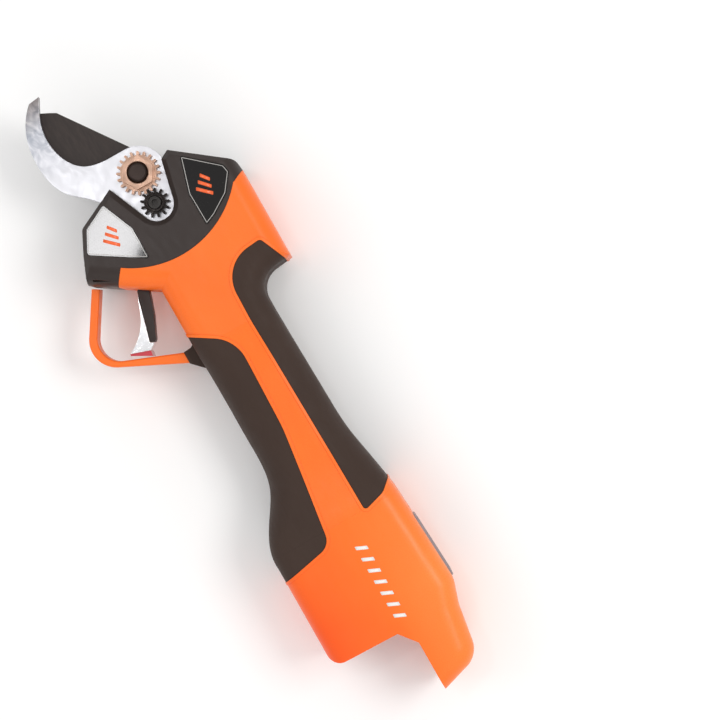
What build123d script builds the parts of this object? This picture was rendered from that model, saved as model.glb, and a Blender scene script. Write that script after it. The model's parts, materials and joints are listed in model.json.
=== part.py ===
from build123d import *
import math
import os

# Battery electric pruner, lying on its side. Millimetres.
# Outlines are drawn about the blade pivot: +X towards the blades, +Y towards the trigger, +Z up
# out of the side that carries the adjusting nut. Heights are counted from the casing's mid plane.

os.makedirs("parts", exist_ok=True)

# ---------------------------------------------------------------- driving dimensions
PIVOT_X = 104.95            # blade pivot in the part's own frame, whose origin is below its middle
PIVOT_Y = -8.6
MID_Z = 22.0                # height of the casing's parting plane
HALF = 22.0                 # half thickness of head and tail
GRIP_HALF = 18.2            # half thickness of the grip
EDGE_R = 9.0                # rounding of the casing's long edges
GRIP_R = 15.0               # rounding of the grip's section
WALL = 3.0                  # casing wall
RUBBER = 1.4                # overmoulded grip thickness
LIP = 0.35                  # height of the moulded lip round each rubber grip
LIP_WIDTH = 1.3
SEAM = 0.05                 # the grip section stays this far inside head and tail where they meet
INNER_SEAM = 0.4            # the same on the inside of the casing
TOP = 60.0                  # cutters run this far above and below the mid plane

COVER_SPLIT = 7.0           # head cover's parting plane, just under the moving blade
COVER_WALL = 2.8
COVER_BEVEL = 2.2
COVER_GAP = 0.08            # between the covers and the casing

MOVING_Z = (7.2, 10.4)      # moving blade
FIXED_Z = (10.6, 14.2)      # fixed blade
NUT_Z = 14.25               # underside of the adjusting nut
BOLT_R = 4.0                # M8 pivot bolt
RUN = 0.04                  # radial clearance of running fits
BEVEL_R = 27.0              # outer cone distance of sector and pinion
SECTOR_TEETH = 60           # on a full circle
PINION_TEETH = 12
SECTOR_FROM = 168.0         # angles that the sector spans while the blade is closed
SECTOR_TO = 242.0

NUT_MODULE = 0.9
NUT_TEETH = 20
LOCK_TEETH = 13
LOCK_X = -NUT_MODULE * (NUT_TEETH + LOCK_TEETH) / 2

GEAR_MODULE = 0.45          # planetary stages
SUN_TEETH = 12
PLANET_TEETH = 18
RING_TEETH = SUN_TEETH + 2 * PLANET_TEETH
PLANET_ORBIT = GEAR_MODULE * (SUN_TEETH + PLANET_TEETH) / 2
PLANETS = 3
RING_R = 12.6
MOTOR_R = 13.0

GUARD_HALF = 6.0            # half width of the trigger guard
TRIGGER_PIN = (-39.5, 21.0)


# ---------------------------------------------------------------- planes
def level(z):
    """Plane parallel to XY through the pivot axis, z above the mid plane."""
    return Plane(origin=(PIVOT_X, PIVOT_Y, MID_Z + z))


def across(x):
    """Plane square to the motor axis: local x is +Y, local y is +Z."""
    return Plane(origin=(PIVOT_X + x, PIVOT_Y, MID_Z), x_dir=(0, 1, 0), z_dir=(1, 0, 0))


def facing_back(y):
    """Plane square to Y looking out of the back edge: local x is +X, local y is +Z."""
    return Plane(origin=(PIVOT_X, PIVOT_Y + y, MID_Z), x_dir=(1, 0, 0), z_dir=(0, -1, 0))


def polar(angle, radius):
    """Point at an angle in degrees and a distance from the pivot."""
    return (radius * math.cos(math.radians(angle)), radius * math.sin(math.radians(angle)))


def put(piece, name):
    """Label a finished piece and write it."""
    piece.label = name
    export_step(piece, f"parts/{name}.step")
    print(f"{name:26s} {len(piece.solids())} solids {piece.volume:10.1f} mm3")


def prism(draw, bottom, top):
    """Closed outline drawn by draw(), extruded from bottom to top."""
    with BuildPart() as block:
        with BuildSketch(level(bottom)):
            with BuildLine():
                draw()
            make_face()
        extrude(amount=top - bottom)
    return block.part


# ---------------------------------------------------------------- casing form
FRONT_ARC = (4.1, 0.75)     # centre of the round seam between casing and head cover
FRONT_ARC_R = 45.0
HEAD_JOIN_X = -80.0         # the grip runs into the head here
TAIL_JOIN_X = -176.0        # and into the tail here
FRONT_X = 30.0              # uncut front of the head block
HOOK_R = 10.5               # hollow in front of the palm hook


def head_outline():
    """Head with its palm hook; it runs on under the cover and is cut back to the seam later."""
    FilletPolyline(
        (FRONT_X, -40.3), (-63.3, -40.3), (-65.4, -22.3), (HEAD_JOIN_X, -22.3), (HEAD_JOIN_X, 16.7),
        (-49.3, 16.7), (-27, 50.9), (FRONT_X, 50.9),
        radius=[0, 0, HOOK_R, 0, 0, 0, 0, 0],
        close=True,
    )


def tail_outline():
    FilletPolyline(
        (TAIL_JOIN_X, -30.2), (-222, -32.8), (-233, -29.2), (-256.5, -25.5), (-262.5, -6),
        (-266, 32.2), (TAIL_JOIN_X, 32.2),
        radius=[0, 12, 12, 11, 0, 0, 0],
        close=True,
    )


def is_outer_rim(edge, join_x):
    """True for the rim edges that are rounded: not at the grip, nor on the part cut away in front."""
    x = (edge @ 0.5).X - PIVOT_X
    y = (edge @ 0.5).Y - PIVOT_Y
    at_grip = abs(x - join_x) < WALL + 0.2 and -29 < y < 16
    cut_away = x > -30 and y > -36
    return not (at_grip or cut_away)


def rounded_block(draw, inset, join_x):
    """Flat-topped block with rounded long edges; its face at join_x stays square."""
    with BuildPart() as block:
        with BuildSketch(level(-HALF + inset)):
            with BuildLine():
                draw()
            make_face()
            if inset != 0:
                offset(amount=-inset, kind=Kind.INTERSECTION)
        extrude(amount=2 * (HALF - inset))
        rims = block.faces().filter_by(Axis.Z).edges().filter_by(lambda e: is_outer_rim(e, join_x))
        fillet(rims, EDGE_R - inset)
    return block.part


def front_cutter(inset):
    """The space in front of the casing, which the head cover fills."""
    with BuildPart() as cutter:
        with BuildSketch(level(-TOP)):
            with Locations(FRONT_ARC):
                Circle(FRONT_ARC_R + inset)
            for corners in (
                [(-32.7, 26.6), (-39.2, 32.2), (-46, 38.2), (-30, 62), (40, 62), (40, 0)],
                [(-24.3, -34.5), (-21, -40.3), (-21, -60), (40, -60), (40, 0)],
            ):
                with BuildLine():
                    Polyline([(x - inset, y) for x, y in corners], close=True)
                make_face()
        extrude(amount=2 * TOP)
    return cutter.part


# Grip sections from the head back to the tail: x, lowest y, highest y, half thickness, corner radius.
GRIP_SECTIONS = [
    (-74, -22.3, 16.7, 22.0, 9.0), (-80, -22.3, 16.7, 22.0, 9.0), (-85, -22.5, 16.7, 21.4, 9.6),
    (-92, -22.7, 16.7, 19.6, 11.8), (-100, -23.0, 16.8, 18.4, 14.0), (-110, -23.3, 16.8, GRIP_HALF, GRIP_R),
    (-125, -23.7, 16.8, GRIP_HALF, GRIP_R), (-140, -24.4, 17.0, GRIP_HALF, GRIP_R),
    (-149, -25.7, 19.0, 18.3, 14.6), (-156, -27.0, 22.8, 18.8, 13.4), (-163, -28.2, 27.2, 19.9, 11.4),
    (-169, -29.2, 30.3, 21.2, 9.8), (-176, -30.2, 32.2, 22.0, 9.0), (-182, -30.5, 32.2, 22.0, 9.0),
]


def grip_form(inset, seam):
    """Waisted grip, a smooth surface through rounded sections."""
    with BuildPart() as grip:
        for x, low, high, half, radius in GRIP_SECTIONS:
            depth = high - low - 2 * (inset + seam)
            with BuildSketch(across(x)):
                with Locations(((low + high) / 2, 0)):
                    RectangleRounded(depth, 2 * (half - inset - seam), radius - inset)
        loft()
    return grip.part


def rear_cutter():
    """Everything behind the battery socket's rim, above the tongue."""
    def draw():
        rim = ThreePointArc((-229.6, 25.5), (-227.9, 30.3), (-223.5, 32.25))
        top = Polyline((-223.5, 32.25), (-223.5, 40), (-280, 40), (-280, -5.9), (-238, -5.9), (-230.2, 0.4))
        Line(top @ 1, rim @ 0)
    return prism(draw, -TOP, TOP)


def casing_form(inset, seam=SEAM):
    """Outer surface of the orange casing, moved inwards by inset all over."""
    head = rounded_block(head_outline, inset, HEAD_JOIN_X)
    tail = rounded_block(tail_outline, inset, TAIL_JOIN_X)
    grip = grip_form(inset, seam)
    seam_space = front_cutter(inset)
    with BuildPart() as form:
        add([head, tail, grip])
        add(seam_space, mode=Mode.SUBTRACT)
    return form.part


OUTER = casing_form(0)
RUBBER_SEAT = casing_form(RUBBER)
LIP_FORM = casing_form(-LIP)
INNER = casing_form(WALL, INNER_SEAM)


def slab(x_range, y_range, z_range):
    """Plain box between limits about the pivot."""
    with BuildPart() as box:
        with BuildSketch(level(z_range[0])):
            with Locations(((x_range[0] + x_range[1]) / 2, (y_range[0] + y_range[1]) / 2)):
                Rectangle(x_range[1] - x_range[0], y_range[1] - y_range[0])
        extrude(amount=z_range[1] - z_range[0])
    return box.part


# ---------------------------------------------------------------- rubber grips
def front_grip_outline():
    FilletPolyline(
        (-70.5, 20.5), (-84.3, -1.4), (-128, -0.2), (-182.2, 7), (-188.2, 36), (-70.5, 36),
        radius=[0, 16, 80, 7, 0, 0],
        close=True,
    )


def back_grip_outline():
    FilletPolyline(
        (-176.6, -13.8), (-80, -11.3), (-53.4, -11.9), (-51.5, -32.1), (-72, -41.2), (-72, -46),
        (-166, -46), (-169.3, -29.5), (-173.5, -24.5),
        radius=[1.5, 100, 15.5, 2, 0, 0, 0, 2, 6],
        close=True,
    )


with BuildPart() as rind:
    add(OUTER)
    add(RUBBER_SEAT, mode=Mode.SUBTRACT)
RIND = rind.part


def grip_skin(draw):
    """Rubber inside an outline, flush with the casing and RUBBER deep."""
    region = prism(draw, -TOP, TOP)
    with BuildPart() as skin:
        add(RIND)
        add(region, mode=Mode.INTERSECT)
    return skin.part


def grip_lip(draw):
    """Raised lip of casing plastic along a grip's border; the side that the tool lies on stays flat."""
    rest_side = slab((-300, 100), (-100, 100), (-TOP, -HALF + 0.1))
    with BuildPart() as band:
        with BuildSketch(level(-TOP)):
            with BuildLine():
                draw()
            make_face()
            offset(amount=LIP_WIDTH)
            with BuildLine():
                draw()
            make_face(mode=Mode.SUBTRACT)
        extrude(amount=2 * TOP)
        add(LIP_FORM, mode=Mode.INTERSECT)
        add(RUBBER_SEAT, mode=Mode.SUBTRACT)
        add(rest_side, mode=Mode.SUBTRACT)
    return band.part


def guard_boss():
    """Rubber-covered foot that carries the trigger guard's rear end."""
    def draw():
        Polyline((-75.5, 15.6), (-77.1, 18.4), (-77.4, 22.1), (-83.0, 22.1), (-89.6, 15.6), close=True)
    boss = prism(draw, -GUARD_HALF - 1, GUARD_HALF + 1)
    with BuildPart() as foot:
        add(boss)
        fillet(foot.faces().filter_by(Axis.Z).edges().group_by(Axis.Y)[-1], 1.0)
        add(RUBBER_SEAT, mode=Mode.SUBTRACT)
    return foot.part


def half_of(solid, keep):
    """The half of a piece above (Keep.TOP) or below (Keep.BOTTOM) the parting plane."""
    with BuildPart() as half:
        add(solid)
        split(bisect_by=level(0), keep=keep)
    return half.part


def posts(spots, radius, bottom, top):
    """Round posts at several spots."""
    with BuildPart() as group:
        with BuildSketch(level(bottom)):
            with Locations(spots):
                Circle(radius)
        extrude(amount=top - bottom)
    return group.part


FRONT_SKIN = grip_skin(front_grip_outline)
BACK_SKIN = grip_skin(back_grip_outline)
GUARD_FOOT = guard_boss()

CASING_SCREWS = [(-57, -33), (-113.5, -8.8), (-182.5, 25.5), (-182.5, -24.5)]
SCREW_R = 1.45              # M3 shank
SCREW_HEAD_R = 2.75
SCREW_HEAD_DEPTH = 2.4
CASING_HEAD_Z = -GRIP_HALF + 1.6
head_bores = posts(CASING_SCREWS, SCREW_HEAD_R + 0.15, -TOP, CASING_HEAD_Z + SCREW_HEAD_DEPTH)
shank_bores = posts(CASING_SCREWS, SCREW_R, -TOP, 13)
with BuildPart() as screw_bores:
    add([head_bores, shank_bores])
SCREW_BORES = screw_bores.part

with BuildPart() as front_grip:
    add([FRONT_SKIN, GUARD_FOOT])
    add(SCREW_BORES, mode=Mode.SUBTRACT)

with BuildPart() as back_grip:
    add(BACK_SKIN)
    add(SCREW_BORES, mode=Mode.SUBTRACT)

for side, keep in (("upper", Keep.TOP), ("lower", Keep.BOTTOM)):
    put(half_of(front_grip.part, keep), f"{side}_front_grip")
    put(half_of(back_grip.part, keep), f"{side}_back_grip")


# ---------------------------------------------------------------- housings
SCREW_BOSS_R = 3.2
SOCKET_WALL_X = (-190.5, -188.0)
DISPLAY_X = (-219.6, -191.2)
DISPLAY_HALF = 9.0
DISPLAY_FLOOR_Y = -30.2
BUTTON_X = -197.0


def ring_along(x_back, x_front, outer, inner=0.0):
    """Ring or disc on the motor axis, from x_back forward to x_front."""
    with BuildPart() as ring:
        with BuildSketch(across(x_back)):
            Circle(outer)
            if inner > 0:
                Circle(inner, mode=Mode.SUBTRACT)
        extrude(amount=x_front - x_back)
    return ring.part


def trigger_slot_outline():
    Polyline(
        (-36.5, 18.2), (-40.2, 26.2), (-44.2, 31), (-48, 25), (-51.5, 17.6), (-47, 14.2), (-40, 14.2),
        close=True,
    )


def casing_fittings():
    """Ribs, screw bosses, trigger pin bosses and the wall in front of the battery socket."""
    saddle = ring_along(-110, -50, MOTOR_R + 0.15)
    socket_wall = slab(SOCKET_WALL_X, (-40, 40), (-TOP, TOP))
    ribs = [slab((x - 1.2, x + 1.2), (-40, 8.5), (-TOP, TOP)) for x in (-64, -84, -104)]
    screw_bosses = posts(CASING_SCREWS, SCREW_BOSS_R, -HALF, HALF)
    pin_post = posts([TRIGGER_PIN], 4.2, -HALF, HALF)
    hub_space = posts([TRIGGER_PIN], 5, -7.2, 7.2)
    with BuildPart() as inside:
        add([socket_wall, *ribs])
        add(saddle, mode=Mode.SUBTRACT)
        add(screw_bosses)
        add(INNER, mode=Mode.INTERSECT)
    with BuildPart() as pin_boss:
        add(pin_post)
        add(hub_space, mode=Mode.SUBTRACT)
        add(OUTER, mode=Mode.INTERSECT)
    return inside.part, pin_boss.part


def casing_cutters():
    """Openings through the casing's walls."""
    gearbox_window = slab((-50, -20), (-13.9, 13.4), (-14, 14))
    sensor_pocket = slab((-44.4, -30), (12.6, 19.4), (-7.2, 4.1))
    trigger_slot = prism(trigger_slot_outline, -4.2, 4.2)
    hub_pocket = posts([TRIGGER_PIN], 4.6, -7.2, 7.2)
    display_recess = slab(DISPLAY_X, (-45, DISPLAY_FLOOR_Y), (-DISPLAY_HALF, DISPLAY_HALF))
    display_window = slab((-217, -193.4), (-32, -26), (-7.2, 7.2))
    terminal_hole = slab((-192, -186), (-8.1, 8.1), (-12.1, 12.1))
    pin_bore = posts([TRIGGER_PIN], 1.5, -12, 12)
    return [
        gearbox_window, sensor_pocket, trigger_slot, hub_pocket, display_recess, display_window,
        terminal_hole, SCREW_BORES, pin_bore, rear_cutter(),
    ]


def casing_shell():
    fittings, pin_boss = casing_fittings()
    lips = [grip_lip(front_grip_outline), grip_lip(back_grip_outline)]
    cutters = casing_cutters()
    with BuildPart() as shell:
        add(OUTER)
        add(INNER, mode=Mode.SUBTRACT)
        add([FRONT_SKIN, BACK_SKIN, GUARD_FOOT], mode=Mode.SUBTRACT)
        add(lips)
        add(GUARD_FOOT, mode=Mode.SUBTRACT)
        add([fittings, pin_boss])
        add(cutters, mode=Mode.SUBTRACT)
    return shell.part


CASING = casing_shell()
put(half_of(CASING, Keep.TOP), "upper_housing")
put(half_of(CASING, Keep.BOTTOM), "lower_housing")


def machine_screw(spots, shank_r, head_r, head_bottom, head_height, tip, drive_r):
    """Screws with their heads down at head_bottom, shanks up to tip and a hexagon drive in each head."""
    with BuildPart() as screws:
        with BuildSketch(level(head_bottom)):
            with Locations(spots):
                Circle(head_r)
        extrude(amount=head_height)
        with BuildSketch(level(head_bottom + head_height)):
            with Locations(spots):
                Circle(shank_r)
        extrude(amount=tip - head_bottom - head_height)
        with BuildSketch(level(head_bottom)):
            with Locations(spots):
                RegularPolygon(drive_r, 6)
        extrude(amount=head_height * 0.6, mode=Mode.SUBTRACT)
    return screws.part


casing_screws = machine_screw(
    CASING_SCREWS, SCREW_R - 0.01, SCREW_HEAD_R, CASING_HEAD_Z, SCREW_HEAD_DEPTH, 12.5, 1.25,
)


# ---------------------------------------------------------------- head covers
COVER_SCREWS = [(-27, 34), (-14.2, 29.2), (-17.3, -31.8), (-29.2, -24)]
COVER_BOSS_R = 4.0


def lower_arm_outline():
    FilletPolyline(
        (-20.9, -40.3), (-15.8, -39.7), (2.3, -16.0), (0.1, -11.8),
        radius=[5, 0],
    )


def cover_back_outline():
    Line((-33, 43.9), (-39.2, 32.3))
    Line((-39.2, 32.3), (-32.6, 26.7))
    ThreePointArc((-32.6, 26.7), (-40.8, -0.5), (-24.2, -34.5))
    Line((-24.2, -34.5), (-20.9, -40.3))


def upper_cover_outline():
    lower_arm_outline()
    FilletPolyline(
        (0.1, -11.8), (-40.5, -2.64), (-0.4, 14.3), (-9.6, 33.2), (-20, 38.4), (-33, 43.9),
        radius=[7.6, 0, 3, 0],
    )
    cover_back_outline()


def lower_cover_outline():
    lower_arm_outline()
    ThreePointArc((0.1, -11.8), (11.5, 0), (-0.4, 14.3))
    FilletPolyline(
        (-0.4, 14.3), (-9.6, 33.2), (-20, 38.4), (-33, 43.9),
        radius=[3, 0],
    )
    cover_back_outline()


def is_cover_rim(edge):
    """True for cover edges that show: all but the seam against the casing."""
    x = (edge @ 0.5).X - PIVOT_X
    y = (edge @ 0.5).Y - PIVOT_Y
    on_arc = abs(math.hypot(x - 4.2, y - 0.75) - 45) < 0.6 and x < -24
    upper_seam = x < -32.8 and y > 26
    lower_seam = -24.3 < x < -20.8 and -41 < y < -34
    return not (on_arc or upper_seam or lower_seam)


def front_badge_outline():
    FilletPolyline(
        (-20.8, 36.6), (-11, 31.4), (-5.3, 20), (-20.2, 13.8), (-35.3, 13.6),
        radius=[1.5, 1.5, 0.8, 2, 0.8],
        close=True,
    )


def rear_badge_outline():
    FilletPolyline(
        (-34.9, -15), (-19.4, -14.7), (-2.9, -19.6), (-15.6, -34.2), (-19.3, -34.9), (-27, -29.2),
        (-32.6, -20.4),
        radius=[0.6, 3, 0.8, 1.5, 1.5, 3, 3],
        close=True,
    )


BADGE_DEPTH = 0.8
BADGE_PROUD = 0.2
COVER_FORM = rounded_block(head_outline, 0, HEAD_JOIN_X)
BADGE_TOP_FORM = rounded_block(head_outline, -BADGE_PROUD, HEAD_JOIN_X)
BADGE_FLOOR_FORM = rounded_block(head_outline, BADGE_DEPTH, HEAD_JOIN_X)


def badge_blank(draw):
    """Plate that follows the head's rounding, on both faces of the head."""
    region = prism(draw, -TOP, TOP)
    with BuildPart() as plates:
        add(BADGE_TOP_FORM)
        add(region, mode=Mode.INTERSECT)
        add(BADGE_FLOOR_FORM, mode=Mode.SUBTRACT)
    return plates.part


FRONT_BADGE = badge_blank(front_badge_outline)
REAR_BADGE = badge_blank(rear_badge_outline)


COVER_SPACE = front_cutter(-COVER_GAP)


def head_cover(draw, bottom, top, outer_z, roof_z):
    """Hollow cover between two heights; outer_z is its outside face and roof_z the cavity's end."""
    block = prism(draw, bottom, top)
    cavity_bottom = min(roof_z, COVER_SPLIT)
    cavity_top = max(roof_z, COVER_SPLIT)
    with BuildPart() as cavity:
        with BuildSketch(level(cavity_bottom)):
            with BuildLine():
                draw()
            make_face()
            offset(amount=-COVER_WALL)
        extrude(amount=cavity_top - cavity_bottom)
    with BuildPart() as cover:
        add(block)
        face = cover.faces().filter_by(Axis.Z).filter_by(lambda f: abs(f.center().Z - MID_Z - outer_z) < 0.1)
        chamfer(face.edges().filter_by(is_cover_rim), COVER_BEVEL)
        add(COVER_FORM, mode=Mode.INTERSECT)
        add(cavity.part, mode=Mode.SUBTRACT)
    return cover.part


def fixed_blade_outline():
    """Hook-shaped counter blade; its root is a plate inside the head."""
    Spline(
        (-2.8, 21.1), (1.4, 24.8), (8.8, 32.7), (17.9, 36.4), (25, 37), (34.1, 36.2), (44.5, 31.9),
        (50.2, 27),
    )
    Line((50.2, 27), (50.9, 21.8))
    Spline(
        (50.9, 21.8), (44.9, 24.9), (38, 27.4), (32.9, 28), (27, 27.4), (20.5, 25), (15.2, 20.4),
        (12.7, 13.5), (12.3, 7),
    )
    Line((12.3, 7), (12.3, 0))
    RadiusArc((12.3, 0), (0, -12.3), 12.3)
    Polyline((0, -12.3), (-12, -14.6), (-36, -14.6), (-36, 14.6), (-16, 19), (-2.8, 21.1))


BLADE_SCREWS = [(-31.8, -11), (-31.8, 11)]
BLADE_SCREW_R = 2.0


def plate_slot_outline():
    """Clearance round the fixed blade's plate where it passes through the cover."""
    Polyline(
        (-36.3, -14.9), (-12.1, -14.9), (0.3, -12.6), (20, -12.6), (20, 30), (4, 28.5), (-3.2, 21.4),
        (-16.2, 19.3), (-36.3, 14.9),
        close=True,
    )


def cover_cutters():
    """Openings shared by both covers: towards the gearbox, for the blades and for the badges."""
    window = slab((-50, -28), (-14.4, 14.4), (-14.2, 14.6))
    hub_pocket = posts([TRIGGER_PIN], 4.6, -7.2, 7.2)
    swing = posts([(0, 0)], 16.8, COVER_SPLIT, FIXED_Z[0] + 0.1)
    under_notch = slab((-30, 3), (-12.5, 14), (COVER_SPLIT, FIXED_Z[0] + 0.1))
    tail_exit = slab((-12, 0), (12, 20.5), (COVER_SPLIT, FIXED_Z[0] + 0.1))
    plate_slot = prism(plate_slot_outline, FIXED_Z[0] - 0.2, FIXED_Z[1] + 0.15)
    return [window, hub_pocket, swing, under_notch, tail_exit, plate_slot, FRONT_BADGE, REAR_BADGE]


COVER_HEAD_Z = -HALF + 3.0


def finished_cover(blank, boss_bottom, boss_top):
    """Cover with its screw bosses and all its openings."""
    bosses = posts(COVER_SCREWS, COVER_BOSS_R, boss_bottom, boss_top)
    holes = posts(COVER_SCREWS, SCREW_R, -TOP, 16)
    bores = posts(COVER_SCREWS, SCREW_HEAD_R + 0.15, -TOP, COVER_HEAD_Z + SCREW_HEAD_DEPTH)
    cutters = cover_cutters()
    with BuildPart() as cover:
        add(blank)
        add(bosses)
        add(COVER_SPACE, mode=Mode.INTERSECT)
        add([*cutters, holes, bores], mode=Mode.SUBTRACT)
    return cover.part


upper_blank = head_cover(upper_cover_outline, COVER_SPLIT, HALF, HALF, HALF - COVER_WALL)
lower_blank = head_cover(lower_cover_outline, -HALF, COVER_SPLIT, -HALF, -HALF + COVER_WALL)
put(finished_cover(upper_blank, COVER_SPLIT, HALF - 1.5), "upper_head_cover")
put(finished_cover(lower_blank, -HALF + 1.0, COVER_SPLIT), "lower_head_cover")
cover_screws = machine_screw(
    COVER_SCREWS, SCREW_R - 0.01, SCREW_HEAD_R, COVER_HEAD_Z, SCREW_HEAD_DEPTH, 15.5, 1.25,
)
with BuildPart() as case_screws:
    add([casing_screws, cover_screws])
put(case_screws.part, "case_screws")

under_rest = slab((-60, 10), (-60, 60), (-TOP, -HALF + 0.05))
for name, blank in (("front_badge", FRONT_BADGE), ("rear_badge", REAR_BADGE)):
    put(half_of(blank, Keep.TOP), f"upper_{name}")
    lower_blank = half_of(blank, Keep.BOTTOM)
    with BuildPart() as flush_badge:
        add(lower_blank)
        add(under_rest, mode=Mode.SUBTRACT)
    put(flush_badge.part, f"lower_{name}")


# ---------------------------------------------------------------- blades
with BuildPart() as fixed_blade:
    with BuildSketch(level(FIXED_Z[0])):
        with BuildLine():
            fixed_blade_outline()
        make_face()
        Circle(BOLT_R + 0.01, mode=Mode.SUBTRACT)
        with Locations((LOCK_X, 0)):
            Circle(SCREW_R, mode=Mode.SUBTRACT)
        with Locations(BLADE_SCREWS):
            Circle(BLADE_SCREW_R, mode=Mode.SUBTRACT)
    extrude(amount=FIXED_Z[1] - FIXED_Z[0])
put(fixed_blade.part, "fixed_blade")


def moving_blade_outline():
    """Blade, hub and the tail that carries the sector."""
    spine = Line((5.23, -7.33), (41.6, 18.6))
    tip = Polyline(spine @ 1, (43.2, 21.5), (45.2, 25.6))
    edge = Spline(tip @ 1, (40, 28.9), (33, 30.2), (24, 28.8), (15.6, 24.2), (10.2, 17), (8.2, 8.5))
    hub = Line(edge @ 1, (-2.5, 11.3))
    tail_top = polar(SECTOR_FROM, BEVEL_R + 0.3)
    tail_bottom = polar(SECTOR_TO, BEVEL_R + 0.3)
    Line(hub @ 1, tail_top)
    RadiusArc(tail_top, tail_bottom, -(BEVEL_R + 0.3))
    neck = Line(tail_bottom, (1.5, -11.3))
    Line(neck @ 1, spine @ 0)


RIVET_ANGLES = [178, 205, 232]
RIVET_ORBIT = 19.2
RIVET_R = 1.3
BUSHING_R = 6.0
rivet_spots = [polar(angle, RIVET_ORBIT) for angle in RIVET_ANGLES]

with BuildPart() as moving_blade:
    with BuildSketch(level(MOVING_Z[0])):
        with BuildLine():
            moving_blade_outline()
        make_face()
        Circle(BUSHING_R, mode=Mode.SUBTRACT)
        with Locations(rivet_spots):
            Circle(RIVET_R, mode=Mode.SUBTRACT)
    extrude(amount=MOVING_Z[1] - MOVING_Z[0])
put(moving_blade.part, "moving_blade")

with BuildPart() as blade_bushing:
    with BuildSketch(level(MOVING_Z[0] - 0.05)):
        Circle(BUSHING_R)
        Circle(BOLT_R + RUN, mode=Mode.SUBTRACT)
    extrude(amount=MOVING_Z[1] - MOVING_Z[0] + 0.1)
put(blade_bushing.part, "blade_bushing")

# Sector: its teeth lie on a cone whose apex is the crossing of the pivot axis and the motor axis.
BEVEL_PITCH_R = BEVEL_R * PINION_TEETH / SECTOR_TEETH
BEVEL_INNER = 22.0 / BEVEL_R
TOOTH_HALF = (0.70, 0.50, 0.30)     # half thickness at root, pitch and tip
ADDENDUM = 0.72
DEDENDUM = 1.05
SECTOR_BACK_Z = MOVING_Z[0]


def sector_tooth(angle):
    """One tapering tooth that hangs under the sector."""
    def section(scale):
        x, y = polar(angle, BEVEL_R * scale)
        out = (math.cos(math.radians(angle)), math.sin(math.radians(angle)), 0)
        plane = Plane(origin=(PIVOT_X + x, PIVOT_Y + y, MID_Z), x_dir=(-out[1], out[0], 0), z_dir=out)
        root_z = BEVEL_PITCH_R + DEDENDUM + 0.15
        with BuildSketch(plane) as profile:
            with BuildLine():
                Polyline([
                    (-TOOTH_HALF[0] * scale, root_z * scale),
                    (-TOOTH_HALF[1] * scale, BEVEL_PITCH_R * scale),
                    (-TOOTH_HALF[2] * scale, (BEVEL_PITCH_R - ADDENDUM) * scale),
                    (TOOTH_HALF[2] * scale, (BEVEL_PITCH_R - ADDENDUM) * scale),
                    (TOOTH_HALF[1] * scale, BEVEL_PITCH_R * scale),
                    (TOOTH_HALF[0] * scale, root_z * scale),
                ], close=True)
            make_face()
        return profile.sketch
    ends = [section(1.0), section(BEVEL_INNER)]
    with BuildPart() as tooth:
        add(ends)
        loft(ruled=True)
    return tooth.part


def sector_body():
    root_out = BEVEL_PITCH_R + DEDENDUM
    root_in = root_out * BEVEL_INNER
    plane = Plane(
        origin=(PIVOT_X, PIVOT_Y, MID_Z),
        x_dir=(math.cos(math.radians(SECTOR_FROM)), math.sin(math.radians(SECTOR_FROM)), 0),
        z_dir=(math.sin(math.radians(SECTOR_FROM)), -math.cos(math.radians(SECTOR_FROM)), 0),
    )
    with BuildPart() as body:
        with BuildSketch(plane):
            with BuildLine():
                Polyline([
                    (17, SECTOR_BACK_Z), (17, root_in), (BEVEL_R * BEVEL_INNER - 0.2, root_in),
                    (BEVEL_R + 0.1, root_out), (BEVEL_R + 0.1, SECTOR_BACK_Z),
                ], close=True)
            make_face()
        revolve(axis=Axis((PIVOT_X, PIVOT_Y, 0), (0, 0, 1)), revolution_arc=SECTOR_TO - SECTOR_FROM)
    return body.part


tooth_step = 360 / SECTOR_TEETH
tooth_count = int((SECTOR_TO - SECTOR_FROM) / tooth_step)
tooth_angles = [SECTOR_FROM + tooth_step * (i + 0.5) for i in range(tooth_count)]
sector_teeth = [sector_tooth(angle) for angle in tooth_angles]
sector_blank = sector_body()
with BuildPart() as bevel_sector:
    add(sector_blank)
    add(sector_teeth)
    with BuildSketch(level(0)):
        with Locations(rivet_spots):
            Circle(RIVET_R)
    extrude(amount=TOP, mode=Mode.SUBTRACT)
put(bevel_sector.part, "bevel_sector")

with BuildPart() as sector_rivets:
    with BuildSketch(level(SECTOR_BACK_Z - 2.2)):
        with Locations(rivet_spots):
            Circle(RIVET_R)
    extrude(amount=MOVING_Z[1] - SECTOR_BACK_Z + 2.2)
    with BuildSketch(level(SECTOR_BACK_Z - 2.7)):
        with Locations(rivet_spots):
            Circle(RIVET_R + 0.6)
    extrude(amount=0.6)
put(sector_rivets.part, "sector_rivets")


# ---------------------------------------------------------------- pivot bolt, nut and lock gear
BOLT_HEAD_Z = (2.4, 6.3)
BOLT_TIP_Z = 21.6

with BuildPart() as pivot_bolt:
    with BuildSketch(level(BOLT_HEAD_Z[0])):
        RegularPolygon(6.5, 6, major_radius=False)
    extrude(amount=BOLT_HEAD_Z[1] - BOLT_HEAD_Z[0])
    chamfer(pivot_bolt.faces().sort_by(Axis.Z)[0].edges(), 0.5)
    with BuildSketch(level(BOLT_HEAD_Z[1])):
        Circle(BOLT_R)
    extrude(amount=BOLT_TIP_Z - BOLT_HEAD_Z[1])
    chamfer(pivot_bolt.faces().sort_by(Axis.Z)[-1].edges(), 0.7)
put(pivot_bolt.part, "pivot_bolt")

with BuildPart() as thrust_washer:
    with BuildSketch(level(BOLT_HEAD_Z[1] + 0.02)):
        Circle(8.0)
        Circle(BOLT_R + 0.02, mode=Mode.SUBTRACT)
    extrude(amount=MOVING_Z[0] - 0.12 - BOLT_HEAD_Z[1])
put(thrust_washer.part, "thrust_washer")


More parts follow.
